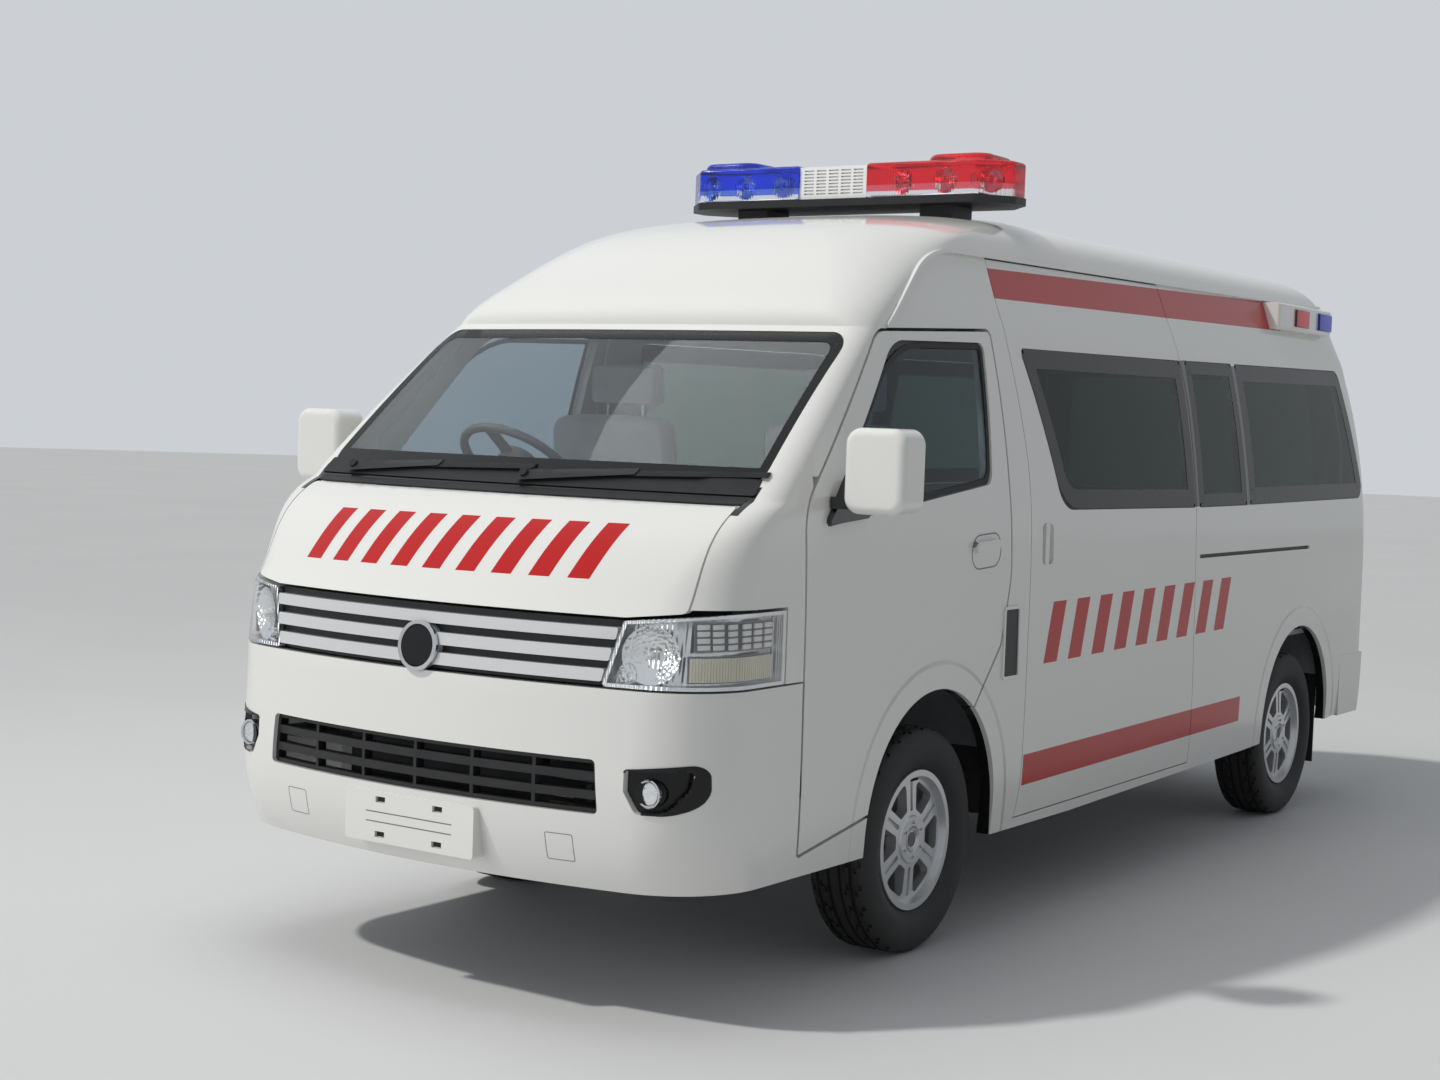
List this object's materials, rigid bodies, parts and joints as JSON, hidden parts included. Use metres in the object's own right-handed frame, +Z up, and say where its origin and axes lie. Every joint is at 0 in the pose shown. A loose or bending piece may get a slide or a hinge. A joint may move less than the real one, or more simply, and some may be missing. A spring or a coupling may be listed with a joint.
{
  "type": "ambulance",
  "caption": "High-roof ambulance van with roof light bar, side stripes, opening doors, bonnet and tailgate, steered front wheels and rolling wheels.",
  "frame": {"origin": "on the ground under the middle of the bounding box", "axes": "-Y forwards over the nose, +X to the vehicle's left side, +Z up"},
  "size_m": [2.178, 5.3197, 2.434],
  "materials": {
    "body_white": "gloss white paint",
    "black_trim": "matt black plastic",
    "clear_glass": "clear glass",
    "dark_glass": "dark tinted glass",
    "lamp_lens": "clear lens",
    "lamp_housing": "bright reflector",
    "bright_trim": "bright plated trim",
    "red_lens": "clear red lens",
    "blue_lens": "clear blue lens",
    "bar_grey": "light grey plastic",
    "interior": "dark grey plastic",
    "seat_cloth": "dark grey cloth",
    "chassis_black": "black chassis paint",
    "floor_grey": "grey paint",
    "engine_iron": "cast iron",
    "steel_parts": "bare steel",
    "rim_silver": "silver cast alloy",
    "tyre": "black rubber",
    "flap_rubber": "black rubber"
  },
  "bodies": {
    "body": {"roof": "body_white", "body_side_left": "body_white", "body_side_right": "body_white", "slide_door": "body_white", "front_frame": "body_white", "windscreen": "clear_glass", "cowl": "black_trim", "wipers": "black_trim", "side_glass": "dark_glass", "tail_lamps": "red_lens", "front_bumper": "body_white", "lower_grille": "black_trim", "fog_lamps": "lamp_housing", "headlamp_lenses": "lamp_lens", "headlamps": "lamp_housing", "grille": "bright_trim", "grille_mesh": "black_trim", "radiator": "chassis_black", "rear_bumper": "body_white", "light_bar": "black_trim", "speaker": "bar_grey", "marker_housings": "body_white", "red_lenses": "red_lens", "blue_lenses": "blue_lens", "floor": "floor_grey", "dashboard": "interior", "seats": "seat_cloth", "chassis": "chassis_black", "engine": "engine_iron", "front_suspension": "chassis_black", "rear_axle": "chassis_black", "leaf_springs": "steel_parts", "exhaust": "steel_parts", "fuel_tank": "chassis_black", "mud_flaps": "flap_rubber"},
    "door_left": {"door_left": "body_white", "door_glass_left": "clear_glass", "mirror_left": "black_trim"},
    "door_right": {"door_right": "body_white", "door_glass_right": "clear_glass", "mirror_right": "black_trim"},
    "bonnet": {"bonnet": "body_white"},
    "tailgate": {"tailgate": "body_white", "tailgate_glass": "dark_glass"},
    "steering_wheel": {"steering_wheel": "interior"},
    "knuckle_left": {"knuckle_left": "steel_parts"},
    "knuckle_right": {"knuckle_right": "steel_parts"},
    "wheel_front_left": {"rim_front_left": "rim_silver", "tyre_front_left": "tyre"},
    "wheel_front_right": {"rim_front_right": "rim_silver", "tyre_front_right": "tyre"},
    "wheel_rear_left": {"rim_rear_left": "rim_silver", "tyre_rear_left": "tyre"},
    "wheel_rear_right": {"rim_rear_right": "rim_silver", "tyre_rear_right": "tyre"}
  },
  "joints": [
    {"name": "door_left_hinge", "type": "hinge", "parent": "body", "child": "door_left", "pos_m": [0.831, -2.025, 0.862], "axis": [0.028, 0, -0.9996], "range_deg": [0, 70]},
    {"name": "door_right_hinge", "type": "hinge", "parent": "body", "child": "door_right", "pos_m": [-0.831, -2.025, 0.862], "axis": [0.028, 0, 0.9996], "range_deg": [0, 70]},
    {"name": "bonnet_hinge", "type": "hinge", "parent": "body", "child": "bonnet", "pos_m": [0, -2.249, 1.314], "axis": [-1, 0, 0], "range_deg": [0, 45]},
    {"name": "tailgate_hinge", "type": "hinge", "parent": "body", "child": "tailgate", "pos_m": [0, 2.496, 1.98], "axis": [1, 0, 0], "range_deg": [0, 85]},
    {"name": "steering_wheel_turn", "type": "hinge", "parent": "body", "child": "steering_wheel", "pos_m": [-0.415, -1.755, 1.385], "axis": [0, 0.6018, 0.7986], "range_deg": [-560, 560]},
    {"name": "steer_left", "type": "hinge", "parent": "body", "child": "knuckle_left", "pos_m": [0.612, -1.335, 0.333], "axis": [0, 0, 1], "range_deg": [-35, 35]},
    {"name": "steer_right", "type": "hinge", "parent": "body", "child": "knuckle_right", "pos_m": [-0.612, -1.335, 0.333], "axis": [0, 0, 1], "range_deg": [-35, 35]},
    {"name": "roll_front_left", "type": "hinge", "parent": "knuckle_left", "child": "wheel_front_left", "pos_m": [0.71, -1.335, 0.333], "axis": [1, 0, 0], "continuous": true},
    {"name": "roll_front_right", "type": "hinge", "parent": "knuckle_right", "child": "wheel_front_right", "pos_m": [-0.71, -1.335, 0.333], "axis": [1, 0, 0], "continuous": true},
    {"name": "roll_rear_left", "type": "hinge", "parent": "body", "child": "wheel_rear_left", "pos_m": [0.71, 1.775, 0.333], "axis": [1, 0, 0], "continuous": true},
    {"name": "roll_rear_right", "type": "hinge", "parent": "body", "child": "wheel_rear_right", "pos_m": [-0.71, 1.775, 0.333], "axis": [1, 0, 0], "continuous": true}
  ],
  "couplings": [
    {"joint": "steer_right", "follows": "steer_left", "ratio": 1},
    {"joint": "steering_wheel_turn", "follows": "steer_left", "ratio": 16}
  ]
}
